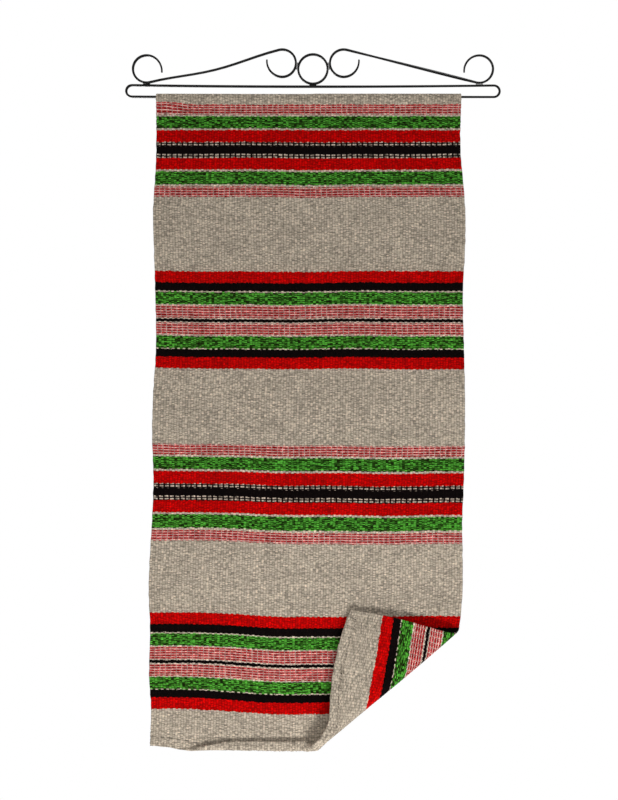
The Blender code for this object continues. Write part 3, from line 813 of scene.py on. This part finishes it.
def wool(name):
    """Hand-woven wool: warp ribs, beads of weft, striped and flecked."""
    g = Graph(name)
    weave = g.node("ShaderNodeAttribute", attribute_name="weave").outputs["Vector"]
    split = g.node("ShaderNodeSeparateXYZ", {"Vector": weave})
    rib, down = split.outputs["X"], split.outputs["Y"]
    slow = g.noise(g.vector(g.times(rib, 0.07), g.times(down, 0.02)), 1.0, 2.0)
    down = g.add(down, g.times(g.add(slow, -0.5), 1.1))
    column = g.math("FLOOR", rib)
    odd = g.math("FLOORED_MODULO", column, 2.0)
    uneven = g.noise(g.vector(g.times(rib, 0.35), g.times(down, 0.12)), 1.0, 1.0)
    row_place = g.add(g.add(g.math("DIVIDE", down, BEAD), g.times(odd, 0.5)), g.times(uneven, 0.9))
    row = g.math("FLOOR", row_place)
    across = g.math("FRACT", rib)
    along = g.math("FRACT", row_place)
    stagger = g.add(g.times(odd, -0.5), g.times(uneven, -0.9))
    bead_down = g.times(g.add(g.add(row, 0.5), stagger), BEAD)
    chance = g.random(g.vector(column, row))
    bead_down = g.add(bead_down, g.times(g.add(chance, -0.5), 0.4))

    start, height, kind = PLACES[0][0], PLACES[0][1], 0.0
    for i, (here, before) in enumerate(zip(PLACES[1:], PLACES)):
        middle = (before[0] + before[1] + here[0]) / 2
        past = g.math("GREATER_THAN", bead_down, middle)
        start = g.math("MULTIPLY_ADD", past, here[0] - before[0], start)
        height = g.math("MULTIPLY_ADD", past, here[1] - before[1], height)
        kind = g.math("MULTIPLY_ADD", past, 1.0 if i % 2 == 0 else -1.0, kind)
    share = g.math("DIVIDE", g.math("SUBTRACT", bead_down, start), height)

    def plain(stripe):
        return PLAIN.get(stripe, GROUND)

    def pattern(stripe):
        return PATTERN.get(stripe, (0.0, 0.0, 0.0))

    colour = g.mix(
        kind, g.ramp(share, stops_of(MOTIF_A, plain)), g.ramp(share, stops_of(MOTIF_B, plain))
    )
    masks = g.mix(
        kind,
        g.ramp(share, stops_of(MOTIF_A, pattern)),
        g.ramp(share, stops_of(MOTIF_B, pattern)),
    )
    masks = g.node("ShaderNodeSeparateColor", {"Color": masks}).outputs

    # rose and ladder: dashes two ribs wide, with gaps between columns and rows
    pair = g.math("FRACT", g.add(g.times(rib, 0.5), g.times(g.add(chance, -0.5), 0.05)))
    off_column = g.math("ABSOLUTE", g.add(pair, -0.5))
    gap_column = g.level(off_column, 0.40, 0.48)
    thirds = g.math("FRACT", g.add(g.math("DIVIDE", down, 3.35), g.times(uneven, 0.35)))
    off_row = g.math("ABSOLUTE", g.add(thirds, -0.5))
    gap_row = g.level(off_row, 0.36, 0.45)
    paler = g.level(g.noise(g.vector(g.times(rib, 0.09), g.times(down, 0.05)), 1.0, 2.0), 0.4, 0.6)
    gap = g.math("MAXIMUM", g.times(gap_column, g.level(paler, 0.0, 1.0, 0.45, 0.9)), gap_row)
    rose = g.mix(g.math("MAXIMUM", gap, g.times(chance, 0.10)), ROSE_RED, ROSE_PALE)
    dash = g.times(g.level(off_row, 0.16, 0.30), g.level(off_column, 0.40, 0.26))
    ladder = g.mix(g.times(dash, g.level(chance, 0.0, 0.6, 0.35, 1.0)), BLACK, LIGHT)

    checks = g.math("FLOORED_MODULO", g.add(column, row), 2.0)
    blotch = g.noise(g.vector(g.times(rib, 0.9), g.times(down, 0.75)), 1.0, 2.0)
    mottle = g.add(g.times(checks, 0.34), g.times(chance, 0.8))
    green = g.mix(
        g.level(g.add(mottle, g.times(g.add(blotch, -0.5), 1.2)), 0.2, 1.05),
        GREEN_DARK,
        GREEN_BRIGHT,
    )
    colour = g.mix(masks["Red"], colour, rose)
    colour = g.mix(masks["Green"], colour, green)
    colour = g.mix(masks["Blue"], colour, ladder)

    # flecked, unevenly spun yarn, with painted shade between the beads of weft and in the hem's
    # creases
    streak = g.noise(g.vector(g.times(rib, 0.95), g.times(down, 0.55)), 1.0, 3.0, 0.65)
    fibre = g.noise(g.vector(g.times(rib, 4.0), g.times(down, 4.0)), 1.0, 3.0, 0.7)
    cloudy = g.noise(g.vector(g.times(rib, 0.06), g.times(down, 0.03)), 1.0, 3.0, 0.55)
    tone = g.add(g.level(streak, 0.30, 0.70, 0.60, 1.27), g.level(fibre, 0.3, 0.7, -0.26, 0.26))
    tone = g.times(tone, g.level(chance, 0.0, 1.0, 0.58, 1.32, False))
    tone = g.times(tone, g.level(cloudy, 0.3, 0.7, 0.93, 1.06))
    fleck = g.level(g.noise(g.vector(g.times(rib, 2.6), g.times(down, 3.2)), 1.0, 1.0), 0.62, 0.74)
    profile_across = g.math("SINE", g.times(across, pi))
    profile_along = g.math("SINE", g.times(along, pi))
    bead = g.times(
        g.math("POWER", profile_across, 0.55), g.add(0.45, g.times(profile_along, 0.55))
    )
    # painted shade: darker in the gaps between beads of weft
    tone = g.times(tone, g.level(bead, 0.0, 0.7, 0.52, 1.06))
    # painted shade: darker where the hem's seam crease is deep (the weave attribute's third
    # number)
    tone = g.times(tone, g.level(split.outputs["Z"], 0.1, 0.9, 1.0, 0.5))
    shade = g.node("ShaderNodeCombineColor", {"Red": tone, "Green": tone, "Blue": tone})
    colour = g.mix(1.0, colour, shade.outputs[0], "MULTIPLY")
    colour = g.mix(g.times(fleck, 0.45), colour, linear(70, 54, 42))

    g.feed(g.shader.inputs["Base Color"], colour)
    rough = g.level(fibre, 0.2, 0.8, 0.82, 0.98)
    g.feed(g.shader.inputs["Roughness"], rough)
    g.shader.inputs["Specular IOR Level"].default_value = 0.04
    g.shader.inputs["Sheen Weight"].default_value = 0.015
    g.shader.inputs["Sheen Roughness"].default_value = 0.6
    hairs = g.add(g.times(bead, 1.0), g.times(fibre, 0.45))
    g.feed(g.shader.inputs["Normal"], g.bump(hairs, 0.65, 0.0006))
    return g.material


def wool_thread():
    """Loosely twisted two-ply grey yarn with stray hairs."""
    g = Graph("wool_thread")
    place = g.node("ShaderNodeTexCoord").outputs["Object"]
    twist = g.node(
        "ShaderNodeTexWave",
        {"Vector": place, "Scale": 520.0, "Distortion": 3.0, "Detail": 2.0},
        bands_direction="DIAGONAL",
    ).outputs["Fac"]
    hair = g.noise(place, 2600.0, 3.0, 0.7)
    cloud = g.noise(place, 90.0, 2.0)
    tint = g.mix(g.level(cloud, 0.35, 0.65), linear(196, 182, 162), linear(232, 219, 200))
    # painted shade: darker in the grooves of the twist, between the two plies
    tint = g.mix(g.times(g.level(twist, 0.5, 0.0), 0.6), tint, linear(112, 98, 82))
    tint = g.mix(g.times(g.level(hair, 0.6, 0.8), 0.5), tint, linear(74, 60, 48))
    g.feed(g.shader.inputs["Base Color"], tint)
    g.feed(g.shader.inputs["Roughness"], g.level(hair, 0.3, 0.7, 0.8, 0.97))
    g.shader.inputs["Specular IOR Level"].default_value = 0.05
    g.feed(g.shader.inputs["Normal"], g.bump(g.add(twist, hair), 0.6, 0.0004))
    return g.material


def black_iron():
    """Hand-bent strip, painted black: hammer marks, satin sheen, rubbed edges."""
    g = Graph("black_iron")
    place = g.node("ShaderNodeTexCoord").outputs["Object"]
    broad = g.noise(place, 90.0, 3.0, 0.55)
    dents = g.node("ShaderNodeTexVoronoi", {"Vector": place, "Scale": 170.0}, feature="SMOOTH_F1")
    grit = g.noise(place, 1500.0, 3.0, 0.6)
    edge = g.node("ShaderNodeNewGeometry").outputs["Pointiness"]
    worn = g.times(g.level(edge, 0.52, 0.60), g.level(g.noise(place, 260.0, 3.0), 0.42, 0.62))
    tint = g.mix(g.level(broad, 0.35, 0.65), linear(5, 4, 5), linear(13, 13, 13))
    tint = g.mix(g.times(g.level(grit, 0.5, 0.8), 0.2), tint, linear(30, 30, 29))
    g.feed(g.shader.inputs["Base Color"], g.mix(g.times(worn, 0.28), tint, linear(62, 60, 56)))
    g.feed(g.shader.inputs["Roughness"], g.level(broad, 0.3, 0.7, 0.30, 0.46))
    g.shader.inputs["Specular IOR Level"].default_value = 0.13
    height = g.add(g.times(dents.outputs["Distance"], 1.2), g.times(broad, 0.8))
    coarse = g.bump(height, 0.35, 0.0008)
    g.feed(g.shader.inputs["Normal"], g.bump(grit, 0.22, 0.0001, coarse))
    return g.material


def weld_bead():
    """Lumpy, darker weld metal with pale specks of slag under thin paint."""
    g = Graph("weld_bead")
    place = g.node("ShaderNodeTexCoord").outputs["Object"]
    lumps = g.noise(place, 420.0, 4.0, 0.6)
    specks = g.level(g.noise(place, 900.0, 3.0, 0.7), 0.56, 0.70)
    tint = g.mix(g.level(lumps, 0.3, 0.7), linear(8, 7, 8), linear(32, 31, 29))
    g.feed(g.shader.inputs["Base Color"], g.mix(g.times(specks, 0.6), tint, linear(104, 96, 86)))
    g.feed(g.shader.inputs["Roughness"], g.level(lumps, 0.3, 0.7, 0.45, 0.75))
    g.shader.inputs["Specular IOR Level"].default_value = 0.4
    g.feed(g.shader.inputs["Normal"], g.bump(lumps, 0.8, 0.0012))
    return g.material


def floor_paint():
    g = Graph("studio_floor")
    place = g.node("ShaderNodeTexCoord").outputs["Object"]
    tone = g.level(g.noise(place, 3.0, 4.0), 0.3, 0.7, 0.80, 0.83)
    shade = g.node("ShaderNodeCombineColor", {"Red": tone, "Green": tone, "Blue": tone})
    g.feed(g.shader.inputs["Base Color"], shade.outputs[0])
    g.shader.inputs["Roughness"].default_value = 0.7
    return g.material


wool_material = wool("striped_wool")
for piece in (panel, flap, sleeve):
    piece.data.materials.append(wool_material)
thread_material = wool_thread()
for piece in (sleeve_stitches, hem_stitches, corner_stitches):
    piece.data.materials.append(thread_material)
iron = black_iron()
bead_metal = weld_bead()
for node_name, node in frame["nodes"].items():
    look = bead_metal if node_name.startswith("weld_") else iron
    for slot in node.material_slots:
        slot.material = look

# Each piece baked in place, and the CAD bodies it stands for hidden
seam = Vector((SHIFT, 0.0, SEAM_Z))
toward_room = Vector((0.0, -1.0, 0.0))
SLEEVE_BEND = (
    "sleeve", "panel", seam + Vector((0.0, 0.0, 0.006)), seam - Vector((0.0, 0.0, 0.012))
)
ROLL_BEND = (
    "panel", "roll", fold_plane(-0.002), fold_plane(FOLD_REACH - 0.003) + toward_room * 0.009
)
FLAP_BEND = (
    "roll", "corner", fold_plane(FOLD_REACH - 0.002) + toward_room * 0.0165,
    fold_plane(-0.002) + toward_room * 0.0238,
)
for piece, bend, nodes, slot_name in (
    (sleeve, SLEEVE_BEND, ("top_sleeve",), "grey_wool"),
    (panel, ROLL_BEND, ("woven_panel", "bottom_hem", "corner_roll"), "striped_wool"),
    (flap, FLAP_BEND, ("corner_flap", "corner_hem"), "striped_wool"),
    (sleeve_stitches, SLEEVE_BEND, ("sleeve_seam_thread",), "wool_thread"),
    (hem_stitches, ROLL_BEND, ("hem_seam_thread",), "wool_thread"),
    (corner_stitches, FLAP_BEND, ("corner_hem_thread",), "wool_thread"),
):
    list(bend)
    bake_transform(piece)
    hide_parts(*nodes)

# Stage, camera and lights
photo_middle = Vector((-0.0051, 0.0, -0.4506))
VIEW_HEIGHT = 1.0464
CAMERA_DISTANCE = 4.0
camera_data = bpy.data.cameras.new("camera")
camera_data.sensor_width = 36.0
camera_data.lens = camera_data.sensor_width * CAMERA_DISTANCE / VIEW_HEIGHT
camera = bpy.data.objects.new("camera", camera_data)
bpy.context.scene.collection.objects.link(camera)
camera.location = photo_middle - Vector((0.0, CAMERA_DISTANCE, 0.0))
camera.rotation_euler = (pi / 2, 0.0, 0.0)
bpy.context.scene.camera = camera

FLOOR_Z = -1.7
floor_bm = bmesh.new()
bmesh.ops.create_circle(floor_bm, cap_ends=True, segments=96, radius=1.5)
floor_mesh = bpy.data.meshes.new("studio_floor")
floor_bm.to_mesh(floor_mesh)
floor_bm.free()
floor_mesh.materials.append(floor_paint())
floor = bpy.data.objects.new("studio_floor", floor_mesh)
floor.location = (0.0, 0.0, FLOOR_Z)
bpy.context.scene.collection.objects.link(floor)


def softbox(name, place, target, size, power):
    data = bpy.data.lights.new(name, "AREA")
    data.shape = "SQUARE"
    data.size = size
    data.energy = power
    light = bpy.data.objects.new(name, data)
    light.location = place
    light.rotation_euler = (Vector(target) - Vector(place)).to_track_quat("-Z", "Y").to_euler()
    bpy.context.scene.collection.objects.link(light)


softbox("key_light", (0.3, -1.0, -1.65), (0.0, 0.0, -0.85), 0.35, 15.5)
softbox("fill_light", (-0.1, -2.2, -0.3), (0.0, 0.0, -0.3), 1.0, 12.0)
softbox("back_light", (-1.0, 2.2, -0.3), (0.0, 0.0, -0.45), 1.4, 30.0)
softbox("floor_light", (0.0, 0.7, 1.4), (0.0, 0.7, FLOOR_Z), 2.0, 60.0)

world = bpy.data.worlds.new("studio")
world.use_nodes = True
world_nodes = world.node_tree.nodes
room = world_nodes["Background"]
room.inputs["Color"].default_value = (1.0, 1.0, 1.0, 1.0)
room.inputs["Strength"].default_value = 0.18
seen = world_nodes.new("ShaderNodeBackground")
seen.inputs["Color"].default_value = (1.0, 1.0, 1.0, 1.0)
ray = world_nodes.new("ShaderNodeLightPath")
choice = world_nodes.new("ShaderNodeMixShader")
world.node_tree.links.new(ray.outputs["Is Camera Ray"], choice.inputs[0])
world.node_tree.links.new(room.outputs[0], choice.inputs[1])
world.node_tree.links.new(seen.outputs[0], choice.inputs[2])
world.node_tree.links.new(choice.outputs[0], world_nodes["World Output"].inputs[0])
bpy.context.scene.world = world
bpy.context.scene.view_settings.view_transform = "Standard"
